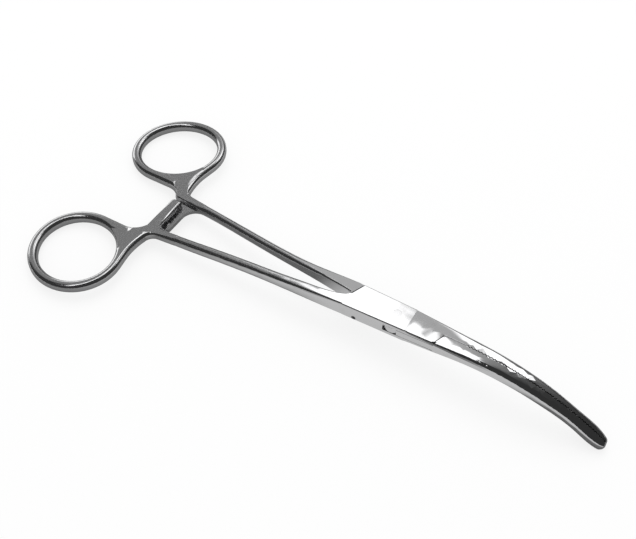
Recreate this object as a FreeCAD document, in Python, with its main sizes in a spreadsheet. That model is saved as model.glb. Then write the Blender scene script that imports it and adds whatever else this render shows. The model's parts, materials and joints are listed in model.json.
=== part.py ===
import FreeCAD, Part
import math
import os
import re

import Sketcher

# Curved artery forceps with a box lock, closed, ratchet engaged.
# Instrument frame: origin at the middle of the pivot, +X towards the tips, +Y towards the far
# ring, +Z towards the convex side. The last step lays the instrument on its rings and tips.
doc = FreeCAD.newDocument("artery_forceps")
Vector = FreeCAD.Vector

# Driving sizes in millimetres and degrees
SIZES = [
    ("ring_x", 87.4, "pivot to the ring centres, along the instrument"),
    ("ring_y", 23.8, "centreline to the ring centres"),
    ("ring_long", 26.2, "long axis of the ring's wire, centre to centre"),
    ("ring_short", 24.2, "short axis of the ring's wire, centre to centre"),
    ("ring_turn", 37.6, "turn of the ring's long axis from the centreline"),
    ("wire_width", 2.78, "width of the ring's wire in plan"),
    ("wire_depth", 3.08, "depth of the rings and webs"),
    ("wire_round", 1.25, "rounding of the rings, webs and necks"),
    ("web_fillet", 5.5, "fillet where the web turns into the neck, if the neck leaves room"),
    ("web_lean", 32.0, "lean of the neck's ring side towards the ring"),
    ("web_blend", 4.5, "fillet between a leaning side and a ratchet arm"),
    ("stem_lean", 10.0, "lean of the stem's outer side where it leaves the ring"),
    ("stem_waist", 15.5, "centreline to the middle of the hollow in the stem's outer side"),
    ("stem_hollow", 20.0, "radius of that hollow"),
    ("stem_foot", 73.4, "pivot to the corner between stem and shank"),
    ("neck_fillet", 2.6, "fillet in the corner between stem and shank"),
    ("neck_corner", 1.4, "rounding of the neck's inner corner"),
    ("joint_step", 0.03, "how far shanks and jaws stand inside the necks and the box, all round"),
    ("arm_back", 76.1, "pivot to the ring side of the upper ratchet arm"),
    ("arm_front", 72.6, "pivot to the box side of the upper ratchet arm"),
    ("arm_reach", 5.6, "upper arm's reach past the centreline"),
    ("catch_back", 74.4, "pivot to the ring side of the lower ratchet arm"),
    ("catch_front", 70.3, "pivot to the box side of the lower ratchet arm"),
    ("catch_reach", 4.9, "lower arm's reach past the centreline"),
    ("arm_corner", 1.1, "rounding of the ends of the arms in plan"),
    ("arm_root", 1.6, "fillet between the upper arm and its shank"),
    ("catch_root", 4.2, "fillet between the lower arm and its shank"),
    ("arm_bevel", 0.85, "rounding along the outer edges of the upper arm"),
    ("catch_bevel", 0.5, "rounding along the outer edges of the lower arm"),
    ("arm_base", 0.55, "mid-plane to the bottom of the tooth gaps"),
    ("rim_width", 0.9, "width of the plain rim beside the lower arm's teeth"),
    ("tooth_gap", 0.06, "mid-plane to the tooth tips, so that the arms pass"),
    ("tooth_pitch", 2.4, "pitch of the ratchet teeth"),
    ("tooth_first", 2.3, "centreline back to the first tooth's steep side"),
    ("arm_slope", 2.4, "length of the slope from the teeth up to an arm's root"),
    ("root_depth", 1.3, "how far the arms' roots reach into the shanks"),
    ("root_dive", 0.5, "how far they have dived into the shanks where they end"),
    ("box_depth", 4.6, "depth of the box and of the shank roots"),
    ("box_round", 0.35, "rounding of the box's long edges"),
    ("box_start", 14.0, "pivot to the plane where the shank roots end"),
    ("box_half_start", 4.4, "half width of the box at the shank roots"),
    ("box_half_end", 3.95, "half width of the box where the jaws begin"),
    ("jaw_start", 4.0, "pivot to where the box's flat faces begin to round"),
    ("bend_start", 19.3, "pivot to where the jaws begin to curve"),
    ("bend_radius", 68.0, "radius of the curve of the jaws"),
    ("bend_angle", 35.5, "turn of the jaws from the bend's start to the tips"),
    ("jaw_half", 3.42, "half width of the jaws where they begin to curve"),
    ("jaw_depth", 4.3, "depth of the jaws where they begin to curve"),
    ("tip_half", 2.08, "half width of the jaws where the tips begin to round"),
    ("tip_depth", 3.1, "depth of the jaws where the tips begin to round"),
    ("nose_half", 1.55, "half width of the jaws at their very end"),
    ("nose_depth", 2.9, "depth of the jaws at their very end"),
    ("nose_turn", 1.4, "turn of the jaws over their rounded end"),
    ("jaw_round", 1.3, "rounding of the jaws' outer edges"),
    ("jaw_crown", 0.34, "bulge of the jaws' upper and lower faces where they begin to curve"),
    ("box_crown", 0.01, "bulge of the same faces where the box ends"),
    ("tip_round", 1.2, "rounding of the tips"),
    ("root_near", 0.2, "centreline to the near shank's root where the box starts"),
    ("root_far", 0.55, "centreline to the far shank's root where the box starts"),
    ("apex_x", 13.4, "pivot to the point of the V shoulders"),
    ("apex_y", 0.1, "centreline to the point of the V shoulders"),
    ("shoulder_slant", 24.0, "slant of the shoulders from straight across"),
    ("plate_depth", 1.25, "thickness of each plate of the slotted box"),
    ("hub_radius", 4.0, "radius of the tenon's round middle, which shows in the box's sides"),
    ("opening_angle", 50.0, "largest opening of the halves"),
    ("tenon_edge", 115.0, "polar angle where the tenon's flank starts"),
    ("stop_margin", 2.0, "angle left between tenon and box at full opening"),
    ("slide_gap", 0.05, "gap between tenon and plates"),
    ("seam_gap", 0.06, "half of the gap between the closed jaws and shoulders"),
    ("hub_gap", 0.12, "gap round the tenon's middle"),
    ("pin_radius", 1.3, "radius of the pivot pin"),
    ("pin_play", 0.03, "radial running clearance of the pin in the tenon"),
    ("pin_inset", 0.03, "depth of the pin's ends below the box faces"),
    ("drill_x", 10.4, "pivot to the drilled mark in the box's side"),
    ("drill_drop", 1.5, "mid-plane down to the drilled mark"),
    ("drill_radius", 0.5, "radius of the drilled mark"),
    ("drill_depth", 1.3, "depth of the drilled mark"),
]

# Stations of the shanks from the ring's neck to the box: distance from the pivot, outer and
# inner side of the near and of the far shank from the centreline, depth, edge rounding. The
# neck has the web's own depth and rounding
STATIONS = [
    ("neck", 66.0, 8.18, 5.43, 8.35, 5.65, None, None),
    ("upper", 54.0, 7.06, 4.34, 6.95, 4.60, 3.15, 1.12),
    ("middle", 42.0, 6.05, 3.35, 5.58, 3.22, 3.32, 1.08),
    ("lower", 32.0, 5.45, 2.72, 4.62, 2.32, 3.65, 0.95),
    ("flare", 23.5, 4.96, 2.20, 4.30, 1.66, 4.10, 0.65),
    ("throat", 17.5, 4.58, 1.55, 4.33, 1.05, 4.45, 0.42),
]

sheet = doc.addObject("Spreadsheet::Sheet", "Sizes")


def write_sizes(rows, first_row):
    """Each row of the sheet holds a size's name, its number and what it is."""
    for row, (alias, number, note) in enumerate(rows, start=first_row):
        sheet.set(f"A{row}", alias)
        sheet.set(f"B{row}", str(number))
        sheet.set(f"C{row}", note)
        sheet.setAlias(f"B{row}", alias)
    doc.recompute()
    return first_row + len(rows)


def station_sizes():
    words = ("station", "near_outer", "near_inner", "far_outer", "far_inner", "depth", "round")
    for name, *numbers in STATIONS:
        given = [(word, number) for word, number in zip(words, numbers) if number is not None]
        for word, number in given:
            yield f"{word}_{name}", number, f"{word.replace('_', ' ')} at the {name}"


def size(alias):
    return float(sheet.get(alias))


next_row = write_sizes(SIZES + list(station_sizes()), 1)


def value(expression):
    """The number that an expression on the sheet gives."""
    result = sheet.evalExpression(expression)
    return float(getattr(result, "Value", result))


def bind(thing, target, expression):
    """Ties a property or a constraint to the sheet: every alias holds an underscore."""
    thing.setExpression(target, re.sub(r"\b([a-z]+_\w+)", r"Sizes.\1", expression))


def mix(first, last, share):
    """An expression that lies a share of the way between two others."""
    return f"({first}) * {1 - share:.4f} + ({last}) * {share:.4f}"


def polygon(name, corners, across=False):
    """A closed sketch whose corners are pairs of expressions, in plan or across the instrument."""
    sketch = doc.addObject("Sketcher::SketchObject", name)
    points = [Vector(value(x), value(y), 0) for x, y in corners]
    count = len(corners)
    for i in range(count):
        sketch.addGeometry(Part.LineSegment(points[i], points[(i + 1) % count]))
    for i in range(count):
        sketch.addConstraint(Sketcher.Constraint("Coincident", i, 2, (i + 1) % count, 1))
        for kind, expression, number in (
            ("DistanceX", corners[i][0], points[i].x),
            ("DistanceY", corners[i][1], points[i].y),
        ):
            index = sketch.addConstraint(Sketcher.Constraint(kind, -1, 1, i, 1, number))
            bind(sketch, f"Constraints[{index}]", expression)
    if across:
        sketch.Placement = FreeCAD.Placement(Vector(), FreeCAD.Rotation(Vector(1, 1, 1), 120))
    return sketch


def prism(name, base, upwards, downwards, along=Vector(0, 0, 1)):
    """A sketch or face pushed out both ways along a direction, by two expressions."""
    solid = doc.addObject("Part::Extrusion", name)
    solid.Base = base
    solid.DirMode = "Custom"
    solid.Dir = along
    solid.Solid = True
    bind(solid, "LengthFwd", upwards)
    bind(solid, "LengthRev", downwards)
    return solid


def section(name, left, right, depth, rounding, place, turn="0"):
    """A rounded rectangle across the instrument, at a place and a downward turn."""
    sketch = doc.addObject("Sketcher::SketchObject", name)
    low_y, high_y, half = value(left), value(right), value(depth) / 2
    radius = value(rounding)
    inner = (low_y + radius, high_y - radius, -half + radius, half - radius)
    lines = [
        (Vector(inner[0], -half), Vector(inner[1], -half)),
        (Vector(high_y, inner[2]), Vector(high_y, inner[3])),
        (Vector(inner[1], half), Vector(inner[0], half)),
        (Vector(low_y, inner[3]), Vector(low_y, inner[2])),
    ]
    for start, end in lines:
        sketch.addGeometry(Part.LineSegment(start, end))
    centres = [(inner[1], inner[2]), (inner[1], inner[3]), (inner[0], inner[3]), (inner[0], inner[2])]
    for quarter, centre in enumerate(centres, start=-1):
        circle = Part.Circle(Vector(*centre, 0), Vector(0, 0, 1), radius)
        right_angle = math.pi / 2
        sketch.addGeometry(Part.ArcOfCircle(circle, quarter * right_angle, (quarter + 1) * right_angle))
    for line in range(4):
        arc = line + 4
        sketch.addConstraint(Sketcher.Constraint("Tangent", line, 2, arc, 1))
        sketch.addConstraint(Sketcher.Constraint("Tangent", arc, 2, (line + 1) % 4, 1))
        sketch.addConstraint(Sketcher.Constraint("Vertical" if line % 2 else "Horizontal", line))
    for arc in (5, 6, 7):
        sketch.addConstraint(Sketcher.Constraint("Equal", 4, arc))
    bound = [
        (Sketcher.Constraint("Radius", 4, radius), rounding),
        (Sketcher.Constraint("DistanceX", -1, 1, 1, 1, high_y), right),
        (Sketcher.Constraint("DistanceX", -1, 1, 3, 1, low_y), left),
        (Sketcher.Constraint("DistanceY", -1, 1, 2, 1, half), f"({depth}) / 2"),
        (Sketcher.Constraint("DistanceY", -1, 1, 0, 1, -half), f"-({depth}) / 2"),
    ]
    return stand_across(sketch, bound, place, turn)


def stand_across(sketch, bound, place, turn):
    """Ties a section's last constraints to the sheet and stands it across the instrument."""
    for constraint, expression in bound:
        index = sketch.addConstraint(constraint)
        bind(sketch, f"Constraints[{index}]", expression)
    x, z = place
    across = "rotation(vector(1; 1; 1); 120)"
    turned = f"rotation(vector(0; 1; 0); {turn}) * {across}"
    bind(sketch, "Placement", f"placement(vector({x}; 0; {z}); {turned})")
    return sketch


def crowned_section(name, half, depth, rounding, crown, place, turn="0"):
    """A section with flat sides, whose upper and lower faces bulge by the crown."""
    sketch = doc.addObject("Sketcher::SketchObject", name)
    swell = f"((({half})^2 + ({crown})^2) / (2 * ({crown})))"
    side, radius, swell_radius = value(half), value(rounding), value(swell)
    centre = value(depth) / 2 - swell_radius
    corner_x = side - radius
    corner_z = centre + math.sqrt((swell_radius - radius) ** 2 - corner_x**2)
    lean = math.atan2(corner_x, corner_z - centre)
    quarter = math.pi / 2

    def arc(x, z, arc_radius, start, end):
        circle = Part.Circle(Vector(x, z), Vector(0, 0, 1), arc_radius)
        sketch.addGeometry(Part.ArcOfCircle(circle, start, end))

    arc(0, -centre, swell_radius, 3 * quarter - lean, 3 * quarter + lean)
    arc(corner_x, -corner_z, radius, 3 * quarter + lean, 4 * quarter)
    sketch.addGeometry(Part.LineSegment(Vector(side, -corner_z), Vector(side, corner_z)))
    arc(corner_x, corner_z, radius, 0, quarter - lean)
    arc(0, centre, swell_radius, quarter - lean, quarter + lean)
    arc(-corner_x, corner_z, radius, quarter + lean, 2 * quarter)
    sketch.addGeometry(Part.LineSegment(Vector(-side, corner_z), Vector(-side, -corner_z)))
    arc(-corner_x, -corner_z, radius, 2 * quarter, 3 * quarter - lean)
    lower, right, upper, left = 0, 2, 4, 6
    for edge in range(8):
        sketch.addConstraint(Sketcher.Constraint("Tangent", edge, 2, (edge + 1) % 8, 1))
    for line in (right, left):
        sketch.addConstraint(Sketcher.Constraint("Vertical", line))
    for corner in (3, 5, 7):
        sketch.addConstraint(Sketcher.Constraint("Equal", 1, corner))
    for face in (lower, upper):
        sketch.addConstraint(Sketcher.Constraint("PointOnObject", face, 3, -2))
    sketch.addConstraint(Sketcher.Constraint("Equal", lower, upper))
    bound = [
        (Sketcher.Constraint("Radius", 1, radius), rounding),
        (Sketcher.Constraint("Radius", upper, swell_radius), swell),
        (Sketcher.Constraint("DistanceX", -1, 1, right, 1, side), half),
        (Sketcher.Constraint("DistanceX", -1, 1, left, 1, -side), f"-({half})"),
        (Sketcher.Constraint("DistanceY", -1, 1, upper, 3, centre), f"({depth}) / 2 - {swell}"),
        (Sketcher.Constraint("DistanceY", -1, 1, lower, 3, -centre), f"{swell} - ({depth}) / 2"),
    ]
    return stand_across(sketch, bound, place, turn)


def loft(name, sections):
    solid = doc.addObject("Part::Loft", name)
    solid.Sections = sections
    solid.Solid = True
    return solid


def fuse(name, *shapes):
    solid = doc.addObject("Part::MultiFuse", name)
    solid.Shapes = list(shapes)
    solid.Refine = True
    return solid


def cut(name, base, tool):
    solid = doc.addObject("Part::Cut", name)
    solid.Base, solid.Tool = base, tool
    return solid


def common(name, first, second):
    solid = doc.addObject("Part::MultiCommon", name)
    solid.Shapes = [first, second]
    return solid


def fillet(name, base, radius, chosen):
    """Rounds the edges for which chosen(edge) is true."""
    doc.recompute()
    solid = doc.addObject("Part::Fillet", name)
    solid.Base = base
    edges = [i for i, edge in enumerate(base.Shape.Edges, start=1) if chosen(edge)]
    solid.Edges = [(i, radius, radius) for i in edges]
    doc.recompute()
    return solid


def cylinder(name, radius, height, place=("0", "0", "0"), turn="0"):
    """A round bar that stands on a place, turned about the X axis."""
    solid = doc.addObject("Part::Cylinder", name)
    bind(solid, "Radius", radius)
    bind(solid, "Height", height)
    x, y, z = place
    bind(solid, "Placement", f"placement(vector({x}; {y}; {z}); rotation(vector(1; 0; 0); {turn}))")
    return solid


# Envelope of the closed box and jaws: a block with flat faces that tapers to the jaws, then a
# rounded bar that curves down to the tips
def box_and_jaws():
    plan = polygon("box_plan", [
        ("-box_start", "-box_half_start"), ("jaw_start", "-box_half_end"),
        ("jaw_start", "box_half_end"), ("-box_start", "box_half_start"),
    ])
    flat = prism("box_flat", plan, "box_depth / 2", "box_depth / 2")

    def runs_lengthways(edge):
        first, last = edge.Vertexes
        return abs(first.Z - last.Z) < 1e-6 < abs(first.X - last.X)

    block = fillet("box_block", flat, size("box_round"), runs_lengthways)
    bars = []
    for i, share in enumerate((0, 0.3, 0.65, 1)):
        half = mix("box_half_end - joint_step", "jaw_half", share)
        depth = mix("box_depth - 2 * joint_step", "jaw_depth", share)
        rounding = mix("box_round", "jaw_round", share)
        crown = mix("box_crown", "jaw_crown", share)
        place = (mix("jaw_start", "bend_start", share), "0")
        bars.append(crowned_section(f"jaw_section_{i}", half, depth, rounding, crown, place))
    bend = [(f"(bend_angle - nose_turn) * {share}", share) for share in (0.2, 0.4, 0.6, 0.8, 1)]
    for i, (turn, share) in enumerate([*bend, ("bend_angle", None)], start=4):
        half, depth = "nose_half", "nose_depth"
        if share:
            half, depth = mix("jaw_half", "tip_half", share), mix("jaw_depth", "tip_depth", share)
        x = f"bend_start + bend_radius * sin({turn})"
        z = f"-bend_radius * (1 - cos({turn}))"
        crown = f"jaw_crown * ({half}) / jaw_half"
        bars.append(
            crowned_section(f"jaw_section_{i}", half, depth, "jaw_round", crown, (x, z), turn)
        )
    whole = fuse("box_and_jaws", block, loft("jaw_bar", bars))
    doc.recompute()
    end_turn = math.radians(size("bend_angle"))
    end = Vector(math.cos(end_turn), 0, -math.sin(end_turn))
    end_point = Vector(value("bend_start + bend_radius * sin(bend_angle)"), 0, 0)
    end_point.z = value("-bend_radius * (1 - cos(bend_angle))")

    def on_end(edge):
        return all(abs((v.Point - end_point).dot(end)) < 1e-4 for v in edge.Vertexes)

    return fillet("rounded_jaws", whole, size("tip_round"), on_end)


def is_upright(edge):
    """True for a straight edge that stands on the plan."""
    first, last = edge.Vertexes[0].Point, edge.Vertexes[-1].Point
    return math.hypot(first.x - last.x, first.y - last.y) < 1e-6


# Shanks: rounded bars from the neck of each ring to the box
def shank(side, sign, root):
    bars = []
    for name, *_ in STATIONS:
        depth, rounding = f"depth_{name}", f"round_{name}"
        outer, inner = f"{side}_outer_{name}", f"{side}_inner_{name}"
        if name == "neck":
            outer, inner = f"({outer} - joint_step)", f"({inner} + joint_step)"
            depth, rounding = "wire_depth - 2 * joint_step", "wire_round"
        edges = sorted((f"{sign}{outer}", f"{sign}{inner}"), key=value)
        bars.append(section(f"{side}_{name}", *edges, depth, rounding, (f"-station_{name}", "0")))
    edges = sorted((f"{sign}(box_half_start - joint_step)", f"{sign}({root} + joint_step)"), key=value)
    depth = "box_depth - 2 * joint_step"
    bars.append(section(f"{side}_root", *edges, depth, "box_round", ("-box_start", "0")))
    return loft(f"{side}_shank", bars)


# Handle: the finger ring, the flat web in its corner and the neck are one forged outline
def rounded_corner(before, corner, after, radius):
    """Start, middle and end of the arc that rounds a corner."""
    one, two = (before - corner).normalize(), (after - corner).normalize()
    half = one.getAngle(two) / 2
    centre = corner + (one + two).normalize() * (radius / math.sin(half))
    reach = radius / math.tan(half)
    start, end = corner + one * reach, corner + two * reach
    return start, centre + (corner - centre).normalize() * radius, end


WEB_SPARE = 0.05


def handle_outline(side, up):
    """up is the direction from the ring to the centreline: 1 on the near half, -1 on the far."""
    centre = Vector(-size("ring_x"), -up * size("ring_y"))
    turn = -up * math.radians(size("ring_turn"))
    long_way, short_way = Vector(math.cos(turn), math.sin(turn)), Vector(-math.sin(turn), math.cos(turn))
    grow = size("wire_width") / 2

    def oval(half_wire):
        long_half, short_half = size("ring_long") / 2 + half_wire, size("ring_short") / 2 + half_wire
        return Part.Ellipse(centre + long_way * long_half, centre + short_way * short_half, centre)

    outer = oval(grow)

    def touch(direction):
        """Parameter and point where the outer oval's tangent faces a direction."""
        along = short_way.dot(direction) * outer.MinorRadius
        parameter = math.atan2(along, long_way.dot(direction) * outer.MajorRadius)
        return parameter, outer.value(parameter)

    lean = math.radians(size("stem_lean"))
    front_at, front = touch(Vector(math.cos(lean), up * math.sin(lean)))
    inward_at, inward = touch(Vector(0, up))
    neck, upper = size("station_neck"), size("station_upper")

    def shank_line(edge, x):
        near_box, near_ring = size(f"{side}_{edge}_upper"), size(f"{side}_{edge}_neck")
        slope = (near_ring - near_box) / (neck - upper)
        return Vector(x, -up * (near_ring + slope * (-x - neck)))

    outer_end, inner_end = shank_line("outer", -neck), shank_line("inner", -neck)
    outer_corner = shank_line("outer", -size("stem_foot"))
    waist = Vector(0, -up * size("stem_waist"))
    waist.x = front.x - (up * waist.y - up * front.y) * math.tan(lean)
    inner_corner = shank_line("inner", -size("arm_back"))
    web_slant = math.tan(math.radians(size("web_lean")))
    web_corner = Vector(inner_corner.x - abs(inward.y - inner_corner.y) * web_slant, inward.y)
    neck_side = inner_corner - web_corner
    neck_arc = rounded_corner(inner_end, inner_corner, web_corner, size("neck_corner"))
    web_room = (neck_arc[2] - web_corner).Length * (1 - WEB_SPARE)
    web_radius = min(size("web_fillet"), web_room * math.tan(neck_side.getAngle(inward - web_corner) / 2))
    arcs = [
        rounded_corner(front, waist, outer_corner, size("stem_hollow")),
        rounded_corner(waist, outer_corner, outer_end, size("neck_fillet")),
        neck_arc,
        rounded_corner(inner_corner, web_corner, inward, web_radius),
    ]
    stops = [front, *arcs[0][::2], *arcs[1][::2], outer_end, inner_end]
    stops += [*arcs[2][::2], *arcs[3][::2], inward]
    edges = [Part.Arc(*arc) for arc in arcs]
    for start, end in zip(stops, stops[1:]):
        if not any(start is arc[0] and end is arc[2] for arc in arcs):
            edges.append(Part.LineSegment(start, end))
    span = (inward_at, front_at) if up > 0 else (front_at, inward_at)
    edges.append(Part.ArcOfEllipse(outer, *span))
    rim = Part.Wire(Part.sortEdges([edge.toShape() for edge in edges])[0])
    hole = Part.Wire(oval(-grow).toShape())
    outline = doc.addObject("Part::Feature", f"{side}_handle_outline")
    outline.Shape = Part.Face([rim, hole], "Part::FaceMakerBullseye")
    return outline


def handle(side, up):
    half = "wire_depth / 2"
    plate = prism(f"{side}_handle_plate", handle_outline(side, up), half, half)
    end_x, height = -size("station_neck"), size("wire_depth") / 2

    def on_rim(edge):
        flat = all(abs(abs(v.Z) - height) < 1e-5 for v in edge.Vertexes)
        return flat and any(abs(v.X - end_x) > 1e-5 for v in edge.Vertexes)

    return fillet(f"{side}_handle", plate, size("wire_round"), on_rim)


# Ratchet: the near half's arm lies above the mid-plane and the far half's below it
TEETH = 3


def arm(side, sign, level, back, front, reach, root_fillet):
    """sign is the side of the centreline of the arm's own shank, level is 1 above or -1 below."""
    other = "" if sign == "-" else "-"
    lean = f"({side}_inner_neck - {side}_inner_upper) / (station_neck - station_upper)"

    def inner(x):
        return f"({side}_inner_neck + joint_step + ({x} - station_neck) * {lean})"

    root_end = f"({front} - {root_fillet} - root_depth)"
    plan = [
        (f"-({back} + root_depth * tan(web_lean))", f"{sign}({inner(back)} + root_depth)"),
        (f"-{back}", f"{sign}{inner(back)}"),
        (f"-{back}", f"{other}{reach}"),
        (f"-{front}", f"{other}{reach}"),
        (f"-{front}", f"{sign}{inner(front)}"),
        (f"-{root_end}", f"{sign}({inner(root_end)} + root_dive)"),
        (f"-{root_end}", f"{sign}({inner(root_end)} + root_depth)"),
    ]
    tall = "box_depth"
    flat = prism(f"{side}_arm_flat", polygon(f"{side}_arm_plan", plan), tall, tall)
    tip_y = value(f"{other}{reach}")

    def at_tip(edge):
        return all(abs(v.Y - tip_y) < 1e-5 for v in edge.Vertexes) and is_upright(edge)

    def at_root(x):
        root_x, root_y = -value(x), value(f"{sign}{inner(x)}")

        def chosen(edge):
            foot = edge.Vertexes[0].Point
            return is_upright(edge) and math.hypot(foot.x - root_x, foot.y - root_y) < 1e-5

        return chosen

    flat = fillet(f"{side}_arm_ends", flat, size("arm_corner"), at_tip)
    flat = fillet(f"{side}_arm_root", flat, size(root_fillet), at_root(front))
    flat = fillet(f"{side}_arm_blend", flat, size("web_blend"), at_root(back))

    # The toothed face runs along y: a ramp, then a steep side, tooth by tooth
    face, tips, gaps = f"{level} * wire_depth / 2", f"{level} * tooth_gap", f"{level} * arm_base"
    steep = [f"({k} * tooth_pitch - tooth_first)" for k in range(TEETH)]
    profile = [(f"{other}{reach}", face), (f"{other}{reach}", gaps)]
    if level > 0:
        profile.append((f"{steep[-1]} + tooth_pitch", gaps))
        order, slope_end = reversed(steep), f"{steep[0]} - arm_slope"
    else:
        profile.append((f"{steep[0]} - tooth_pitch", gaps))
        order, slope_end = steep, f"{steep[-1]} + arm_slope"
    for y in order:
        profile += [(y, tips), (y, gaps)]
    root_y = f"{sign}({inner(front)} + root_depth)"
    profile += [(slope_end, tips), (root_y, tips), (root_y, face)]
    along = polygon(f"{side}_arm_profile", profile, across=True)
    toothed = prism(f"{side}_arm_teeth", along, "0", back, Vector(1, 0, 0))
    if level < 0:
        plain = [(f"{other}{reach}", face), (f"{other}{reach}", tips), (root_y, tips), (root_y, face)]
        rim_plan = polygon(f"{side}_rim_profile", plain, across=True)
        rim = prism(f"{side}_arm_rim", rim_plan, "0", f"{front} + rim_width", Vector(1, 0, 0))
        toothed = fuse(f"{side}_arm_top", toothed, rim)
    whole = common(f"{side}_arm_raw", flat, toothed)
    face_z, shank_y = value(face), value(inner(back))

    def on_face(edge):
        outside = any(abs(v.Y) < shank_y + 1e-3 for v in edge.Vertexes)
        return outside and all(abs(v.Z - face_z) < 1e-5 for v in edge.Vertexes)

    return fillet(f"{side}_arm", whole, size("arm_bevel" if level > 0 else "catch_bevel"), on_face)


# Box lock: the near half is slotted, the far half passes through the slot as a thin tenon
BEYOND = "2 * box_half_start"
PAST_TIPS = "2 * (bend_start + bend_radius)"
BEHIND = "-2 * box_start"
SHOULDER = f"(({BEYOND} - apex_y) * tan(shoulder_slant) - apex_x)"
TALL = "bend_radius"


def slot_in_near_half():
    """Everything that the near half leaves free in the envelope of box and jaws."""
    flank = f"({BEYOND} / tan(tenon_edge - opening_angle - stop_margin))"
    root = polygon("free_root_plan", [
        (BEHIND, "-root_near"), ("-box_start", "-root_near"), ("-apex_x", "apex_y"),
        (SHOULDER, BEYOND), (BEHIND, BEYOND),
    ])
    jaw = polygon("free_jaw_plan", [
        ("apex_x", "-apex_y"), (f"-{SHOULDER}", f"-{BEYOND}"), (PAST_TIPS, f"-{BEYOND}"),
        (PAST_TIPS, "seam_gap"), ("apex_x", "seam_gap"),
    ])
    swept = polygon("swept_root_plan", [
        ("0", "0"), ("0", "-seam_gap"), (BEHIND, "-seam_gap"), (BEHIND, BEYOND), (flank, BEYOND),
    ])
    swept_jaw = polygon("swept_jaw_plan", [
        ("0", "0"), ("0", "seam_gap"), (PAST_TIPS, "seam_gap"), (PAST_TIPS, f"-{BEYOND}"),
        (f"-{flank}", f"-{BEYOND}"),
    ])
    layer = "(box_depth / 2 - plate_depth)"
    hub = cylinder("free_hub", "hub_radius + hub_gap", f"2 * {layer}", ("0", "0", f"-{layer}"))
    taper = "(box_half_start - box_half_end) / (box_start + jaw_start)"
    side = f"(box_half_start - {taper} * (box_start - drill_x))"
    mark = cylinder(
        "drilled_mark", "drill_radius", f"{BEYOND} - {side} + drill_depth",
        ("-drill_x", f"-{BEYOND}", "-drill_drop"), "-90",
    )
    bore = cylinder("plate_bore", "pin_radius", "2 * box_depth", ("0", "0", "-box_depth"))
    prisms = [prism("free_root", root, TALL, TALL), prism("free_jaw", jaw, TALL, TALL)]
    prisms += [prism("swept_root", swept, layer, layer), prism("swept_jaw", swept_jaw, layer, layer)]
    return fuse("near_slot", *prisms, hub, mark, bore)


def tenon_in_far_half():
    """What the far half fills of the envelope of box and jaws."""
    step = "2 * seam_gap / cos(shoulder_slant)"
    flank = f"({BEYOND} / tan(tenon_edge))"
    root = polygon("root_plan", [
        (BEHIND, "root_far"), ("-box_start", "root_far"), (f"-apex_x - {step}", "apex_y + seam_gap"),
        (f"{SHOULDER} - {step}", BEYOND), (BEHIND, BEYOND),
    ])
    jaw = polygon("jaw_plan", [
        (f"apex_x + {step}", "-seam_gap"), (f"{step} - {SHOULDER}", f"-{BEYOND}"),
        (PAST_TIPS, f"-{BEYOND}"), (PAST_TIPS, "-seam_gap"),
    ])
    tenon_root = polygon("tenon_root_plan", [
        ("0", "seam_gap"), (flank, BEYOND), (BEHIND, BEYOND), (BEHIND, "seam_gap"),
    ])
    tenon_jaw = polygon("tenon_jaw_plan", [
        ("0", "-seam_gap"), (f"-{flank}", f"-{BEYOND}"), (PAST_TIPS, f"-{BEYOND}"),
        (PAST_TIPS, "-seam_gap"),
    ])
    layer = "(box_depth / 2 - plate_depth - slide_gap)"
    hub = cylinder("hub", "hub_radius", f"2 * {layer}", ("0", "0", f"-{layer}"))
    prisms = [prism("root_block", root, TALL, TALL), prism("jaw_block", jaw, TALL, TALL)]
    prisms += [prism("tenon_root", tenon_root, layer, layer), prism("tenon_jaw", tenon_jaw, layer, layer)]
    return fuse("tenon_blocks", *prisms, hub)


def slotted_half(envelope):
    box = cut("near_box", envelope, slot_in_near_half())
    whole = [handle("near", 1), arm("near", "-", 1, "arm_back", "arm_front", "arm_reach", "arm_root")]
    whole += [shank("near", "-", "root_near"), box]
    return fuse("slotted_half", *whole)


def tenon_half(envelope):
    filled = common("far_box_solid", envelope, tenon_in_far_half())
    bore = cylinder("tenon_bore", "pin_radius + pin_play", "2 * box_depth", ("0", "0", "-box_depth"))
    catch = arm("far", "", -1, "catch_back", "catch_front", "catch_reach", "catch_root")
    whole = [handle("far", -1), catch]
    whole += [shank("far", "", "root_far"), cut("far_box", filled, bore)]
    return fuse("tenon_half", *whole)


def pivot_pin():
    reach = "(box_depth / 2 - pin_inset)"
    return cylinder("pivot_pin", "pin_radius", f"2 * {reach}", ("0", "0", f"-{reach}"))


MESH_STEP = 0.02
SETTLING_ROUNDS = 5


def lay_down(nodes):
    """Pitches the instrument so that it rests on both rings and the tips."""
    points = [point for node in nodes for point in node.Shape.tessellate(MESH_STEP)[0]]
    pitch = 0.0

    def height(point):
        return point.z * math.cos(pitch) + point.x * math.sin(pitch)

    for _ in range(SETTLING_ROUNDS):
        ring = min((point for point in points if point.x < 0), key=height)
        tip = min((point for point in points if point.x > 0), key=height)
        pitch = math.atan((ring.z - tip.z) / (tip.x - ring.x))
    along = [point.x * math.cos(pitch) - point.z * math.sin(pitch) for point in points]
    rest = [
        ("rest_pitch", math.degrees(pitch), "pitch of the instrument as it lies"),
        ("rest_shift", -(min(along) + max(along)) / 2, "moves its middle over the origin"),
        ("rest_height", -min(map(height, points)), "lifts it onto the surface"),
    ]
    write_sizes(rest, next_row)
    for node in nodes:
        node.Label = node.Name
        turn = "rotation(vector(0; 1; 0); -rest_pitch)"
        place = f"placement(vector(rest_shift; 0; rest_height); {turn})"
        if node.TypeId == "Part::Cylinder":
            lower_end = "placement(vector(0; 0; pin_inset - box_depth / 2); rotation(vector(0; 0; 1); 0))"
            place = f"{place} * {lower_end}"
        bind(node, "Placement", place)
    doc.recompute()


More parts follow.
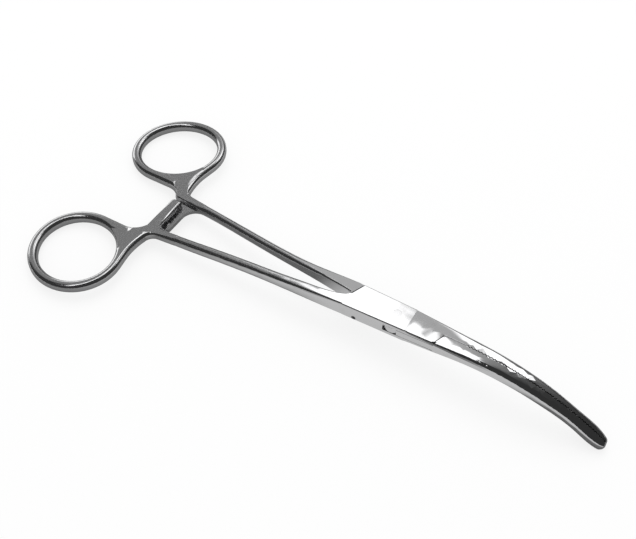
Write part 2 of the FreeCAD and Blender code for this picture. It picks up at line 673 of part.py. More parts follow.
def check_and_export(nodes):
    for thing in doc.Objects:
        if "Invalid" in thing.State or "Error" in thing.State:
            raise RuntimeError(f"{thing.Name} did not compute")
        if hasattr(thing, "Shape") and not thing.Shape.isValid():
            raise RuntimeError(f"{thing.Name} is not a sound shape")
    os.makedirs("parts", exist_ok=True)
    for node in nodes:
        shape = node.Shape
        if shape.isNull() or not shape.isValid() or len(shape.Solids) != 1:
            raise RuntimeError(f"{node.Label} is not one sound solid")
        shape.exportStep(f"parts/{node.Label}.step")
        print(node.Label, round(shape.Volume, 1), shape.optimalBoundingBox())


envelope = box_and_jaws()
nodes = [slotted_half(envelope), tenon_half(envelope), pivot_pin()]
doc.recompute()
lay_down(nodes)
check_and_export(nodes)
print("pivot", sheet.get("rest_shift"), sheet.get("rest_height"), "pitch", sheet.get("rest_pitch"))
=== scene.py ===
# %% [markdown]
# # Curved hemostat forceps in polished steel
# The instrument is two forged halves and one pin. The near half carries a slot, the far half
# passes through that slot as a thin tenon, and the pin joins them: a box lock. The halves come
# in as solids, and this lesson gives them what a miller, a file cutter and a polisher give the
# real ones: thin webs at the rings, broken edges, cross serrations inside the jaws, and a mirror
# that is never quite perfect.

# %% Load the frame
import json
import math

import bmesh
import bpy
from mathutils import Matrix, Vector


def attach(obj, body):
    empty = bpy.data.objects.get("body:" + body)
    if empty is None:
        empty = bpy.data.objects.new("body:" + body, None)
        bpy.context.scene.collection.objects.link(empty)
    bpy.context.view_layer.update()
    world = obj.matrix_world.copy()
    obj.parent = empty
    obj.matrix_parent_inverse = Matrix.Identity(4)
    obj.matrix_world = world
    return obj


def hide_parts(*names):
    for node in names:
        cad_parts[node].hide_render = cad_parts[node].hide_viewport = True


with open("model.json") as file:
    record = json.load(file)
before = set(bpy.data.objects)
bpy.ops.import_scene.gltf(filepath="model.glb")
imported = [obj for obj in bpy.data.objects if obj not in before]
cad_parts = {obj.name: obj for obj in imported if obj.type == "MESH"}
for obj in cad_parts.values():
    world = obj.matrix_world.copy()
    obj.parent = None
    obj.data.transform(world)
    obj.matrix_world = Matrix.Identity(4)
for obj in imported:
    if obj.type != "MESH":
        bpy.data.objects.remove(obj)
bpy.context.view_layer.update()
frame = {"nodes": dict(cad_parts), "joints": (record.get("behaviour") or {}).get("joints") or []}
MM = 0.001
print("solids:", sorted(frame["nodes"]))

# %% [markdown]
# The instrument lies on its two rings and its tips, so its own plane is pitched a few degrees
# out of the floor. The hinge knows that plane: its place is the pivot and its axis stands across
# the plane. A small function turns millimetres from the pivot, along the instrument, across it
# and out of its convex side, into places in the scene, and another one turns them back.

# %% The instrument's own directions
box_lock = frame["joints"][0]
PIVOT = Vector(box_lock["pos_m"])
UP = -Vector(box_lock["axis"]).normalized()
ACROSS = Vector((0, 1, 0))
ALONG = ACROSS.cross(UP).normalized()
INSTRUMENT = Matrix((ALONG, ACROSS, UP)).transposed()


def place(x, y, z):
    """A point in the scene, from millimetres along, across and out of the instrument."""
    return PIVOT + INSTRUMENT @ (Vector((x, y, z)) * MM)


def in_instrument(place_in_scene):
    """Millimetres along, across and out of the instrument."""
    return INSTRUMENT.transposed() @ (place_in_scene - PIVOT) / MM


print("pivot", tuple(round(c, 5) for c in PIVOT), "pitch", round(math.degrees(math.asin(-UP.x)), 2))

# %% [markdown]
# Everything in a Blender scene is an object that holds some data: a mesh, a lamp or a camera. It
# shows only once it is linked to a collection, so one function does both.

# %% Put data in the scene
def put_in_scene(name, data):
    made = bpy.data.objects.new(name, data)
    bpy.context.scene.collection.objects.link(made)
    return made


# %% [markdown]
# ## Camera
# The picture was taken from close by, so the rings are seen flatter than the tips. The camera is
# set by the direction that it looks from, its distance to a plane through the pivot, and how far
# the pivot lies beside the middle of the picture. A focal length in pixels becomes millimetres of
# lens once the width of the sensor is divided by the width of the picture.

# %% Place the camera
PICTURE_WIDTH = 636
FOCAL_PIXELS = 844.66
LOOK_AZIMUTH, LOOK_ELEVATION, ROLL = map(math.radians, (30.308, 49.576, 0.14))
DISTANCE, ASIDE, ABOVE = 219.9, -20.43, 12.9

back = Vector((
    math.sin(LOOK_AZIMUTH) * math.cos(LOOK_ELEVATION),
    -math.cos(LOOK_AZIMUTH) * math.cos(LOOK_ELEVATION),
    math.sin(LOOK_ELEVATION),
))
level = Vector((math.cos(LOOK_AZIMUTH), math.sin(LOOK_AZIMUTH), 0))
upright = back.cross(level)
right = level * math.cos(ROLL) + upright * math.sin(ROLL)
above = upright * math.cos(ROLL) - level * math.sin(ROLL)

lens = bpy.data.cameras.new("camera")
lens.sensor_width = 36
lens.lens = FOCAL_PIXELS / PICTURE_WIDTH * lens.sensor_width
lens.clip_start, lens.clip_end = 0.01, 20
camera = put_in_scene("camera", lens)
turn = (INSTRUMENT @ Matrix((right, above, back)).transposed()).to_4x4()
stand = back * DISTANCE + right * ASIDE + above * ABOVE
camera.matrix_world = Matrix.Translation(place(*stand)) @ turn
bpy.context.scene.camera = camera
bpy.context.scene.view_settings.view_transform = "Standard"
print("camera at", tuple(round(c, 3) for c in camera.location), "lens", round(lens.lens, 2))

# %% [markdown]
# ## Shader arithmetic
# A material's maths reads best as formulas. `Number` wraps a node's output, and each Python
# operator on it adds one Math node. `Graph.node` makes any other node: it takes the node's type,
# its settings and what goes into its sockets, and returns the outputs that are asked for.

# %% A number that comes out of a node
class Number:
    """An output of a node that takes part in Python arithmetic."""

    def __init__(self, graph, socket):
        self.graph, self.socket = graph, socket

    def __add__(self, other):
        return math_node("ADD", self, other)

    def __sub__(self, other):
        return math_node("SUBTRACT", self, other)

    def __rsub__(self, other):
        return math_node("SUBTRACT", other, self)

    def __mul__(self, other):
        return math_node("MULTIPLY", self, other)

    def __truediv__(self, other):
        return math_node("DIVIDE", self, other)

    __radd__ = __add__
    __rmul__ = __mul__

    def rises(self, low, high):
        """0 below low, 1 above high and a smooth step between them."""
        inputs = {"Value": self, "From Min": low, "From Max": high}
        settings = {"interpolation_type": "SMOOTHSTEP"}
        return self.graph.node("ShaderNodeMapRange", settings, inputs)

    def between(self, low, high, fade):
        """1 from low to high, with a soft border of that width on both ends."""
        return self.rises(low - fade, low + fade) * (1 - self.rises(high - fade, high + fade))

    def towards(self, level, share):
        """This number where the share is 0, and the level where it is 1."""
        return self + (level - self) * share


def math_node(operation, *values):
    """One Math node, in the graph of the first value that comes out of a node."""
    graph = next(value.graph for value in values if isinstance(value, Number))
    return graph.node("ShaderNodeMath", {"operation": operation}, dict(enumerate(values)))


def either(first, second):
    """The larger of two shares, so that two shapes are drawn as one."""
    return math_node("MAXIMUM", first, second)


# %% A tree of nodes
class Graph:
    """A node tree: a material's, a world's or one for Geometry Nodes."""

    def __init__(self, tree):
        self.tree = tree
        self.tree.nodes.clear()

    def node(self, kind, settings=None, inputs=None, outputs=0):
        """outputs is one output's name or number, or a list of them."""
        made = self.tree.nodes.new(kind)
        for name, setting in (settings or {}).items():
            setattr(made, name, setting)
        for name, given in (inputs or {}).items():
            if isinstance(given, Number):
                self.tree.links.new(given.socket, made.inputs[name])
            else:
                made.inputs[name].default_value = given
        if isinstance(outputs, list):
            return [Number(self, made.outputs[name]) for name in outputs]
        return Number(self, made.outputs[outputs])


def new_material(name):
    material = bpy.data.materials.new(name)
    material.use_nodes = True
    return material, Graph(material.node_tree)


# %% [markdown]
# ## Where a point lies
# The stage and the steel are both laid out along the instrument. So their materials share one
# function, which turns the point being shaded into millimetres from the pivot: along the
# instrument, across it and out of its convex side. It reads Object coordinates, and every finished
# piece has its object at the origin, so these are places in the scene.

# %% Millimetres from the pivot
def from_pivot(graph):
    """The millimetres along, across and out of the instrument, at the point being shaded."""
    at = graph.node("ShaderNodeTexCoord", outputs="Object")
    offset = graph.node("ShaderNodeVectorMath", {"operation": "SUBTRACT"}, {0: at, 1: PIVOT})
    reach = []
    for direction in (ALONG, ACROSS, UP):
        settings = {"operation": "DOT_PRODUCT"}
        inputs = {0: offset, 1: direction / MM}
        reach.append(graph.node("ShaderNodeVectorMath", settings, inputs, "Value"))
    return reach


# %% [markdown]
# ## Stage
# Polished steel has no look of its own: it shows the room. So the room is built as for a
# photograph of silverware, and the floor and the sky may look white to the eye while the steel
# sees another shade. The Light Path node tells the two apart.

# %% Who looks
def who_looks(graph):
    """1 for a ray from the camera or through glass, and then 1 for a ray from a mirror."""
    names = ["Is Camera Ray", "Is Glossy Ray", "Is Transmission Ray"]
    by_camera, by_mirror, by_glass = graph.node("ShaderNodeLightPath", outputs=names)
    return math_node("MINIMUM", by_camera + by_glass, 1), by_mirror


def glow(graph, strength):
    return graph.node("ShaderNodeEmission", {}, {"Color": (1, 1, 1, 1), "Strength": strength})


# %% [markdown]
# The floor is one sheet of white paper. A plain diffuse sheet would look grey in places, so to the
# eye four fifths of it glow white, and one fifth is paper that takes the shadow. What the steel's
# walls mirror of the floor is the strip right beside them. There the glow that mirrors see is
# painted shade: greyer, and darkest under the jaws and between the shanks, where the instrument
# keeps the light out. These borders are millimetres along and across the instrument.

# %% The paper as the steel sees it
DARK_PAPER, LIT_PAPER, SHADED_PAPER, FAR_PAPER = 0.16, 0.72, 0.05, 0.95


def mirrored_paper(along, across):
    """How bright the floor is in a mirror, with painted shade near the instrument."""
    # painted shade: the floor's glow for mirrors is darker near the instrument
    mirrored = DARK_PAPER + along.rises(-80, -25) * (LIT_PAPER - DARK_PAPER)
    between_shanks = across.between(-9, 4, 2.5) * along.between(-75, -24, 6)
    under_jaws = across.rises(-11, -7) * along.rises(26, 40)
    beside_box = (1 - across.rises(-13.6, -11.6)) * along.between(-30, 24, 6)
    shade = either(either(between_shanks, under_jaws), beside_box)
    mirrored = mirrored.towards(SHADED_PAPER, shade)
    past_rings, past_far_side = 1 - along.rises(-150, -112), across.rises(55, 95)
    return mirrored.towards(FAR_PAPER, either(past_rings, past_far_side))


# %% Lay the floor
FLOOR_SIZE = 6
SHADOW_SHARE = 0.2

floor_material, graph = new_material("white_floor")
along, across, out = from_pivot(graph)
by_eye, by_mirror = who_looks(graph)
paper = graph.node("ShaderNodeBsdfDiffuse", {}, {"Color": (0.9, 0.9, 0.9, 1)})
glowing = glow(graph, mirrored_paper(along, across).towards(1, by_eye))
share = either(by_eye, by_mirror) * (1 - SHADOW_SHARE)
surface = graph.node("ShaderNodeMixShader", {}, {0: share, 1: paper, 2: glowing})
graph.node("ShaderNodeOutputMaterial", {}, {"Surface": surface}, outputs=[])

mesh = bpy.data.meshes.new("floor")
half = FLOOR_SIZE / 2
corners = [(-half, -half, 0), (half, -half, 0), (half, half, 0), (-half, half, 0)]
mesh.from_pydata(corners, [], [(0, 1, 2, 3)])
mesh.materials.append(floor_material)
floor = put_in_scene("floor", mesh)
print("floor", FLOOR_SIZE, "m wide")

# %% [markdown]
# The sky fills the shadows from all sides. It is a little dimmer than white as a light, so that
# the shadows on the floor stay, and pure white to the eye.

# %% Sky
SKY = 0.8

world = bpy.data.worlds.new("sky")
world.use_nodes = True
bpy.context.scene.world = world
graph = Graph(world.node_tree)
by_eye, by_mirror = who_looks(graph)
strength = SKY + by_eye * (1 - SKY)
sky = graph.node("ShaderNodeBackground", {}, {"Color": (1, 1, 1, 1), "Strength": strength})
graph.node("ShaderNodeOutputWorld", {}, {"Surface": sky}, outputs=[])
print("sky", SKY)

# %% [markdown]
# A dome of cloth hangs round the floor, and only reflections see it. Its cloth is dark behind the
# camera and grey at the back on the left. In it hang white panels with soft edges. Their places
# are given in degrees as seen from the pivot: azimuth 0 is towards the tips and 90 towards the
# far ring, and the elevation is counted from the instrument's own plane. The steel's flat faces
# show the part of the dome that lies behind the instrument, from azimuth 150 for the rings down
# to 35 for the tips, so one panel whitens the box and another draws the bright line on the jaws.

# %% Cloth of the tent
CLOTH_FRONT, CLOTH_LEFT, CLOTH_RIGHT = 0.045, 0.27, 0.55
BACKDROP_WHITE = 1.5


def plain_cloth(azimuth, elevation):
    """The tent without its panels, with a white backdrop low behind the rings."""
    cloth = CLOTH_FRONT + azimuth.between(125, 175, 12) * (CLOTH_LEFT - CLOTH_FRONT)
    right_grey = CLOTH_RIGHT * azimuth.rises(35, 112) + CLOTH_FRONT
    right_side = azimuth.between(30, 127, 1.5) * elevation.rises(14, 34)
    backdrop = azimuth.between(132, 215, 6) * (1 - elevation.rises(20, 34))
    return cloth.towards(right_grey, right_side).towards(BACKDROP_WHITE, backdrop)


# %% [markdown]
# Four panels hang in the tent. The wall panel stands where the box looks, and its slanted rim
# gives the white its slanted end. The ceiling panel hangs above it, where only rounded edges look.
# The overhead panel lights the start of the near jaw, and the strip draws the line on the far jaw.

# %% Panels of the tent
PANEL_WHITE = 1.9


def wall_panel(azimuth, elevation):
    rim = 107 - (elevation - 53.5) * 2.14
    past_rim = (azimuth - either(rim, 105.5)).rises(-0.8, 0.8)
    return past_rim * azimuth.between(90, 127, 0.8) * elevation.between(46, 78, 1.5)


def ceiling_panel(azimuth, elevation):
    past_rim = (elevation - (62 + (106 - azimuth) * 0.45)).rises(-1, 1)
    return past_rim * azimuth.between(60, 127, 0.8) * elevation.between(50, 78, 2)


def jaw_strip(azimuth, elevation):
    height = elevation - (44 + (98 - azimuth) * 0.2)
    return height.between(-11, 4, 1) * azimuth.between(61, 100, 1.5)


# %% Hang the tent
TENT_RADIUS = 4


def tent_brightness(graph):
    """How bright the dome is at the point being shaded."""
    x, y, z = from_pivot(graph)
    height, sideways = z / (TENT_RADIUS / MM), x / (TENT_RADIUS / MM)
    azimuth = math_node("ARCTAN2", y, x) * math.degrees(1)
    elevation = math_node("ARCSINE", height) * math.degrees(1)
    overhead = math_node("ARCTAN2", z, y) * math.degrees(1)
    overhead_panel = overhead.between(66, 122, 2) * sideways.between(-0.17, 0.03, 0.02)
    panels = either(ceiling_panel(azimuth, elevation), overhead_panel)
    panels = either(wall_panel(azimuth, elevation), panels)
    cloth = plain_cloth(azimuth, elevation).towards(PANEL_WHITE, panels)
    return cloth.towards(PANEL_WHITE, jaw_strip(azimuth, elevation))


cloth_material, graph = new_material("tent_cloth")
shine = glow(graph, tent_brightness(graph))
graph.node("ShaderNodeOutputMaterial", {}, {"Surface": shine}, outputs=[])

shell = bmesh.new()
bmesh.ops.create_uvsphere(shell, u_segments=96, v_segments=48, radius=TENT_RADIUS)
bmesh.ops.translate(shell, verts=shell.verts, vec=PIVOT)
mesh = bpy.data.meshes.new("tent")
shell.to_mesh(mesh)
shell.free()
mesh.materials.append(cloth_material)
tent = put_in_scene("tent", mesh)
tent.visible_camera = tent.visible_diffuse = tent.visible_shadow = False
tent.visible_transmission = tent.visible_volume_scatter = False
print("tent", TENT_RADIUS, "m round the pivot, for reflections only")

# %% [markdown]
# One soft lamp behind the instrument gives the shadow its direction. No mirror sees it, because
# the tent already has the bright shapes that the steel should show.

# %% Key lamp
LAMP_AZIMUTH, LAMP_ELEVATION = math.radians(120), math.radians(60)
LAMP_DISTANCE, LAMP_SIZE, LAMP_POWER = 1.0, 0.8, 4

towards_lamp = Vector((
    math.cos(LAMP_AZIMUTH) * math.cos(LAMP_ELEVATION),
    math.sin(LAMP_AZIMUTH) * math.cos(LAMP_ELEVATION),
    math.sin(LAMP_ELEVATION),
))
light = bpy.data.lights.new("key_lamp", "AREA")
light.size, light.energy = LAMP_SIZE, LAMP_POWER
key_lamp = put_in_scene("key_lamp", light)
key_lamp.location = place(*(towards_lamp * LAMP_DISTANCE / MM))
key_lamp.rotation_euler = (INSTRUMENT @ towards_lamp).to_track_quat("Z", "Y").to_euler()
key_lamp.visible_glossy = False
print("lamp at", tuple(round(c, 2) for c in key_lamp.location))

# %% [markdown]
# ## Steel
# Surgical steel is polished with the wheel running along the instrument. That leaves hairlines
# in the same direction, a sheen that changes from place to place, and a surface that is a little
# wavy where the wheel dwelt. The box and the jaws get the finest wheel and are nearly a mirror.
# The shanks and rings keep a softer shine. All of it is laid out along the instrument's own
# directions, in millimetres from the pivot, so that the pattern sits still on the steel.

# %% Noise at a size
def noise(graph, at, scale, detail=2.0):
    """Between 0 and 1, with lumps of about 1 / scale millimetres."""
    inputs = {"Vector": at, "Scale": scale, "Detail": detail, "Roughness": 0.5}
    return graph.node("ShaderNodeTexNoise", {}, inputs)


def blend_colours(graph, share, first, second):
    """The first colour where the share is 0, and the second where it is 1."""
    inputs = {0: share, 6: first, 7: second}
    return graph.node("ShaderNodeMix", {"data_type": "RGBA"}, inputs, 2)


# %% [markdown]
# Two marks belong to the box. Behind its V shoulder the top of the far shank isn't level with it
# but leans a little outwards, and so mirrors grey cloth where the box is white. A slope in the
# bump's height is enough for that. In the near side of the box is a small drilled hole. Hardly any
# light comes out of so narrow a bore, so its shade is painted: the steel's colour round its mouth
# and in it is nearly black.

# %% Marks near the box
FACET_SLOPE = 0.09
SHOULDER_X, SHOULDER_SLOPE = -13.4, 0.445
DRILL_X, DRILL_Z, DRILL_RADIUS = -10.4, -1.5, 0.6


def facet_drop(along, across):
    """How far the far shank's top falls away outwards, in millimetres."""
    behind_shoulder = 1 - (along - across * SHOULDER_SLOPE - SHOULDER_X).rises(-0.1, 0.1)
    facet = across.rises(-0.5, 0.5) * along.rises(-72, -46) * behind_shoulder
    return facet * across * FACET_SLOPE


def painted_hole_shade(along, across, out):
    """1 in the small hole in the near side of the box, where its shade is painted."""
    beside, over = along - DRILL_X, out - DRILL_Z
    in_hole = 1 - (beside * beside + over * over).rises(0.3 * DRILL_RADIUS, DRILL_RADIUS)
    return in_hole * (1 - across.rises(-4.2, -4.0))


# %% Polished steel
# the last colour is painted shade for the drilled hole
STEEL, STAINED_STEEL, HOLE_SHADE = (0.62, 0.62, 0.625, 1), (0.5, 0.5, 0.5, 1), (0.01, 0.01, 0.01, 1)
HAIRLINE_STRETCH = 0.03


def steel_finish_and_hole_shade(name, mirror, satin, wave, stains):
    """mirror and satin are the roughness of the box and of the rings. The colour holds painted shade
    in the drilled hole.
    """
    material, graph = new_material(name)
    along, across, out = from_pivot(graph)
    at = graph.node("ShaderNodeCombineXYZ", {}, {"X": along, "Y": across, "Z": out})
    inputs = {"X": along * HAIRLINE_STRETCH, "Y": across, "Z": out}
    hairline = noise(graph, graph.node("ShaderNodeCombineXYZ", {}, inputs), 7.0)
    patches = noise(graph, at, 0.35, 3.0)
    handle = 1 - along.rises(-40.0, -14.0)
    roughness = mirror + handle * (satin - mirror) + patches.rises(0.45, 0.75) * 0.03
    roughness = roughness + hairline * 0.03
    height = noise(graph, at, 0.16, 1.0) * wave + noise(graph, at, 1.1) * handle * 0.006
    height = height + hairline * 0.0004 - facet_drop(along, across)
    bump = graph.node("ShaderNodeBump", {}, {"Strength": 1.0, "Distance": MM, "Height": height})
    clean = 1 - patches.rises(0.55, 0.8) * stains
    tint = blend_colours(graph, clean, STAINED_STEEL, STEEL)
    # painted shade: the steel is coloured nearly black in and round the drilled hole
    tint = blend_colours(graph, painted_hole_shade(along, across, out), tint, HOLE_SHADE)
    inputs = {"Base Color": tint, "Metallic": 1.0, "Roughness": roughness, "Normal": bump}
    steel = graph.node("ShaderNodeBsdfPrincipled", {}, inputs)
    graph.node("ShaderNodeOutputMaterial", {}, {"Surface": steel}, outputs=[])
    return material


polished_steel = steel_finish_and_hole_shade("polished_steel", 0.04, 0.15, 0.025, 0.4)
pin_steel = steel_finish_and_hole_shade("pin_steel", 0.08, 0.08, 0.0, 0.2)
frame["nodes"]["pivot_pin"].data.materials[0] = pin_steel
print("finishes:", polished_steel.name, "and", pin_steel.name)

# %% [markdown]
# ## The two halves
# The halves arrive as triangles. They are copied, because the solids themselves stay as they
# are, and doubled points and flat triangles are joined, so that later cuts and bevels meet whole
# faces. The block of the box stands a few hundredths proud of the stems, and a polisher takes
# that step off, so its points are levelled in the copy.

# %% Level the seams of the box
BOX_ENDS = (-14.0, 4.0)
BOX_TOP, SEAM_STEP = 2.3, 0.06


def at_box_end(point):
    return min(abs(point.x - end) for end in BOX_ENDS) < 0.01


def level_seams(shape):
    for vertex in shape.verts:
        point = in_instrument(vertex.co)
        if at_box_end(point) and 0 < BOX_TOP - abs(point.z) < SEAM_STEP:
            point.z = math.copysign(BOX_TOP, point.z)
            vertex.co = place(*point)


# %% Copy a solid and join its triangles
MERGE = 0.001 * MM
FLAT = math.radians(0.2)


def joined_copy(node, name):
    """The node's triangles as one closed mesh, with its flat faces whole."""
    shape = bmesh.new()
    shape.from_mesh(frame["nodes"][node].data)
    bmesh.ops.remove_doubles(shape, verts=shape.verts, dist=MERGE)
    level_seams(shape)
    bmesh.ops.dissolve_limit(shape, angle_limit=FLAT, verts=shape.verts, edges=shape.edges)
    open_edges = sum(not edge.is_manifold for edge in shape.edges)
    mesh = bpy.data.meshes.new(name)
    shape.to_mesh(mesh)
    shape.free()
    print(name, len(mesh.polygons), "faces,", open_edges, "open edges")
    return put_in_scene(name, mesh)


halves = {
    "slotted_half": joined_copy("slotted_half", "near_half_polished"),
    "tenon_half": joined_copy("tenon_half", "far_half_polished"),
}

# %% [markdown]
# Two kinds of tool cut the halves: a mill at the webs and a file in the jaws. In Blender both
# are a Boolean modifier with a cutter of its own. The Manifold solver is chosen, because it keeps
# closed meshes closed where many cutters cross. A modifier is only a recipe, so each cut is
# frozen into plain mesh at once, and the next tool starts from real faces.

# %% Cutters
def add_modifier(thing, kind, **settings):
    modifier = thing.modifiers.new(kind.lower(), kind)
    for name, setting in settings.items():
        setattr(modifier, name, setting)
    return modifier


def freeze(thing):
    """Turns the modifiers into plain mesh."""
    graph = bpy.context.evaluated_depsgraph_get()
    mesh = bpy.data.meshes.new_from_object(thing.evaluated_get(graph))
    mesh.name = thing.name
    thing.modifiers.clear()
    thing.data = mesh
    return thing


def cut(thing, cutter):
    """Takes the cutter's shape, in the instrument's millimetres, out of the steel."""
    cutter.data.transform(Matrix.Translation(PIVOT) @ (INSTRUMENT * MM).to_4x4())
    cutter.data.update()
    add_modifier(thing, "BOOLEAN", operation="DIFFERENCE", object=cutter, solver="MANIFOLD")
    freeze(thing)
    bpy.data.objects.remove(cutter)


# %% A closed shape from corners and faces
def bar_faces(count):
    """The two ends and the sides of a bar whose outline has that many corners."""
    sides = [(i, (i + 1) % count, count + (i + 1) % count, count + i) for i in range(count)]
    return [tuple(range(count)), tuple(range(count, 2 * count))] + sides


def closed_shape(name, points, faces):
    shape = bmesh.new()
    corners = [shape.verts.new(point) for point in points]
    for face in faces:
        shape.faces.new([corners[i] for i in face])
    bmesh.ops.recalc_face_normals(shape, faces=shape.faces)
    mesh = bpy.data.meshes.new(name)
    shape.to_mesh(mesh)
    shape.free()
    return put_in_scene(name, mesh)


# %% [markdown]
# ## Milled webs
# Between each finger ring and its shank the forging is milled down a little, on both faces. The
# round wire of the ring stays proud of that flat web, and the low wall between the two shines as
# a white crescent. The shape could be pressed in with a bump, but the crescent is a real wall, so
# a cutter makes it. The cutter's walls lean back at the crescent and at the ring, and elsewhere
# its outline passes through empty space. At the neck its floor climbs until it runs out on the
# shank, so that no step is left there.

# %% Outline of a web
CRESCENTS = {
    "slotted_half": [
        (-77.1, 19.1), (-77.65, 16.9), (-77.9, 14.8), (-77.65, 13.1), (-77.0, 11.9), (-76.3, 11.0),
        (-75.5, 10.2), (-74.6, 9.4), (-73.6, 8.9),
    ],
    "tenon_half": [
        (-76.5, 22.2), (-75.8, 20.6), (-75.6, 19.3), (-75.8, 18.1), (-76.1, 16.5), (-76.05, 14.4),
        (-75.8, 12.8), (-75.3, 11.45), (-74.4, 10.2), (-73.5, 9.3),
    ],
}
RING_SIDE = [(-79.4, 11.9), (-81, 12.6), (-84.5, 12.9)]
FREE_BEFORE, FREE_AFTER = (-81, 20.5), (-84, 16)
NECK_X, NECK_Y, NECK_SIDE = -72.3, 5.0, 11


def web_outline(crescent):
    neck = [(NECK_X, NECK_SIDE), (NECK_X, NECK_Y), (-78, NECK_Y), (-78.5, 8.5)]
    return [FREE_BEFORE] + crescent + neck + RING_SIDE + [FREE_AFTER]


def leaned(outline, leaning, shift):
    """The outline, with its leaning corners moved out by that much."""
    moved = []
    for i, (x, y) in enumerate(outline):
        before, after = Vector(outline[i - 1]), Vector(outline[(i + 1) % len(outline)])
        inwards = Vector(((after - before).y, -(after - before).x)).normalized()
        if (x, y) in leaning:
            x, y = x - inwards.x * shift, y - inwards.y * shift
        moved.append((x, y))
    return moved


# %% Cutter of a web
WIRE_TOP, WEB_DEPTH, CUTTER_TOP = 1.54, 0.3, 1.75
WEB_FLOOR = WIRE_TOP - WEB_DEPTH
WALL_LEAN = math.radians(18)
RAMP_X, RAMP_Y, RAMP_RISE = -64.0, 2.0, 0.36


def add_ramp(points, faces, count, first, run_out, face):
    """Carries one side of the cutter further out, over a floor that climbs."""
    second, ramp = first + 1, len(points)
    for level in (WEB_FLOOR + RAMP_RISE, CUTTER_TOP):
        for x, y, _ in (points[first], points[second]):
            points.append((x + run_out[0], y + run_out[1], level * face))
    faces.remove((first, second, count + second, count + first))
    faces += [
        (first, ramp, ramp + 1, second),
        (ramp, ramp + 2, ramp + 3, ramp + 1),
        (count + first, count + second, ramp + 3, ramp + 2),
        (first, count + first, ramp + 2, ramp),
        (second, ramp + 1, ramp + 3, count + second),
    ]


def web_cutter(node, side, face):
    """side is -1 for the near half, face is 1 for the upper face of the instrument."""
    outline = web_outline(CRESCENTS[node])
    leaning = set(CRESCENTS[node]) | set(RING_SIDE)
    count, points = len(outline), []
    for level in (WEB_FLOOR, CUTTER_TOP):
        shift = (level - WEB_FLOOR - WEB_DEPTH / 2) / math.tan(WALL_LEAN)
        points += [(x, y * side, level * face) for x, y in leaned(outline, leaning, shift)]
    faces = bar_faces(count)
    neck = outline.index((NECK_X, NECK_SIDE))
    add_ramp(points, faces, count, neck, (RAMP_X - NECK_X, 0), face)
    add_ramp(points, faces, count, neck + 1, (0, (RAMP_Y - NECK_Y) * side), face)
    return closed_shape(f"{node}_web", points, faces)


# %% Mill the webs
for node, side in (("slotted_half", -1), ("tenon_half", 1)):
    for face in (1, -1):
        cut(halves[node], web_cutter(node, side, face))
    print(node, len(halves[node].data.polygons), "faces with milled webs")

# %% [markdown]
# ## Broken edges
# A solid from CAD has razor edges wherever two cut faces meet. On the bench every one of them is
# broken with a stone, and that thin facet is what catches the light. A Bevel modifier would take
# all of them, so the edges are chosen here and bevelled in bmesh. Three places are left out: the
# ends of the box block, which the polisher has made one face with the stems, the rim of the pivot
# hole, where the pin was ground flush with the box, and the handles, which are forged round.

# %% Break the edges
EDGE_BREAK = 0.07 * MM
SHARP = math.radians(35)
PIN_RIM = 2.8
FORGED_END = -60


def is_broken(edge):
    if not edge.is_manifold or edge.calc_face_angle() < SHARP:
        return False
    ends = [in_instrument(vertex.co) for vertex in edge.verts]
    levelled = all(at_box_end(point) for point in ends)
    at_pin = all(point.xy.length < PIN_RIM for point in ends)
    forged = any(point.x < FORGED_END for point in ends)
    return not (levelled or at_pin or forged)


for half in halves.values():
    shape = bmesh.new()
    shape.from_mesh(half.data)
    broken = [edge for edge in shape.edges if is_broken(edge)]
    bmesh.ops.bevel(
        shape, geom=broken, affect="EDGES", offset=EDGE_BREAK, offset_type="OFFSET", segments=2,
        profile=0.5, clamp_overlap=False,
    )
    shape.to_mesh(half.data)
    shape.free()
    print(half.name, len(broken), "edges broken,", len(half.data.polygons), "faces")

# %% [markdown]
# ## Cross serrations
# The jaws grip with fine grooves that a file cutter leaves across their inner faces, about one
# every millimetre from the start of the bend to the tips. They repeat along a curve, which is
# work for Geometry Nodes: a line of points is bent round the jaw's arc, a cutter is set on each,
# and a Boolean takes them all out of the steel. The two jaws are cut half a pitch apart, so that
# their ridges mesh.

# %% A row of cutters along the jaw
JAW_BEND_START, JAW_BEND_RADIUS, JAW_BEND_ANGLE = 19.3, 68.0, math.radians(35.5)


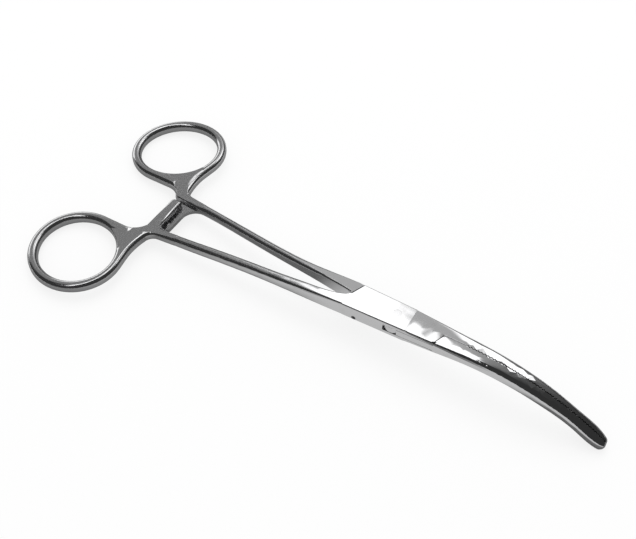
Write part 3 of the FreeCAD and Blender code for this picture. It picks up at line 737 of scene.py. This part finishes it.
def groove_tree():
    """Cutters in a row along x, bent downwards past the start of the bend."""
    tree = bpy.data.node_groups.new("serrations", "GeometryNodeTree")
    graph = Graph(tree)
    kinds = {
        "Cutter": "Geometry", "Count": "Int", "Pitch": "Float", "Offset": "Float",
        "Material": "Material",
    }
    for name, kind in kinds.items():
        tree.interface.new_socket(name, in_out="INPUT", socket_type=f"NodeSocket{kind}")
    tree.interface.new_socket("Grooves", in_out="OUTPUT", socket_type="NodeSocketGeometry")
    given = graph.node("NodeGroupInput", outputs=list(kinds))
    cutter, count, pitch, offset, material = given
    points = graph.node("GeometryNodeMeshLine", {}, {"Count": count})
    travel = graph.node("GeometryNodeInputIndex") * pitch + offset
    turn = travel / JAW_BEND_RADIUS
    x = math_node("SINE", turn) * JAW_BEND_RADIUS + JAW_BEND_START
    z = (math_node("COSINE", turn) - 1) * JAW_BEND_RADIUS
    position = graph.node("ShaderNodeCombineXYZ", {}, {"X": x, "Z": z})
    bent = graph.node("GeometryNodeSetPosition", {}, {"Geometry": points, "Position": position})
    rotation = graph.node("ShaderNodeCombineXYZ", {}, {"Y": turn})
    inputs = {"Points": bent, "Instance": cutter, "Rotation": rotation}
    placed = graph.node("GeometryNodeInstanceOnPoints", {}, inputs)
    whole = graph.node("GeometryNodeRealizeInstances", {}, {"Geometry": placed})
    inputs = {"Geometry": whole, "Material": material}
    coloured = graph.node("GeometryNodeSetMaterial", {}, inputs)
    graph.node("NodeGroupOutput", {}, {"Grooves": coloured}, outputs=[])
    return tree


# %% Cut the serrations
GROOVE_PITCH, GROOVE_DEPTH, GROOVE_HALF, GROOVE_REACH = 0.9, 0.34, 0.36, 6.0
FIRST_GROOVE = 0.7
DIAMOND = [(0, -GROOVE_DEPTH), (GROOVE_HALF, 0), (0, GROOVE_DEPTH), (-GROOVE_HALF, 0)]

serrations = groove_tree()
sockets = {item.name: item.identifier for item in serrations.interface.items_tree}
groove_count = int(JAW_BEND_RADIUS * JAW_BEND_ANGLE / GROOVE_PITCH) - 1
for node, shift in (("slotted_half", 0.0), ("tenon_half", 0.5)):
    corners = [(x, y, z) for z in (-GROOVE_REACH, GROOVE_REACH) for x, y in DIAMOND]
    grooves = closed_shape(f"{node}_grooves", corners, bar_faces(len(DIAMOND)))
    modifier = add_modifier(grooves, "NODES", node_group=serrations)
    given = {
        "Count": groove_count, "Pitch": GROOVE_PITCH, "Offset": (FIRST_GROOVE + shift) * GROOVE_PITCH,
        "Material": polished_steel,
    }
    for name, value in given.items():
        modifier[sockets[name]] = value
    cut(halves[node], freeze(grooves))
    print(node, groove_count, "grooves,", len(halves[node].data.polygons), "faces")

# %% [markdown]
# ## Shading
# Smooth shading would roll the light over the broken edges and bend it on the flats. So edges
# past the limit stay sharp, and a Weighted Normal modifier lets the large faces keep their own
# direction. Then each half rides on its body and stands for its solid.

# %% Shade the halves and hand them over
SMOOTH = math.radians(25)

for node, half in halves.items():
    half.data.materials.clear()
    half.data.materials.append(polished_steel)
    half.data.polygons.foreach_set("material_index", [0] * len(half.data.polygons))
    half.data.polygons.foreach_set("use_smooth", [True] * len(half.data.polygons))
    half.data.set_sharp_from_angle(angle=SMOOTH)
    add_modifier(half, "WEIGHTED_NORMAL", keep_sharp=True, weight=100)
    freeze(half)
    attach(half, node)
    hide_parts(node)
    print(half.name, "rides on", node)
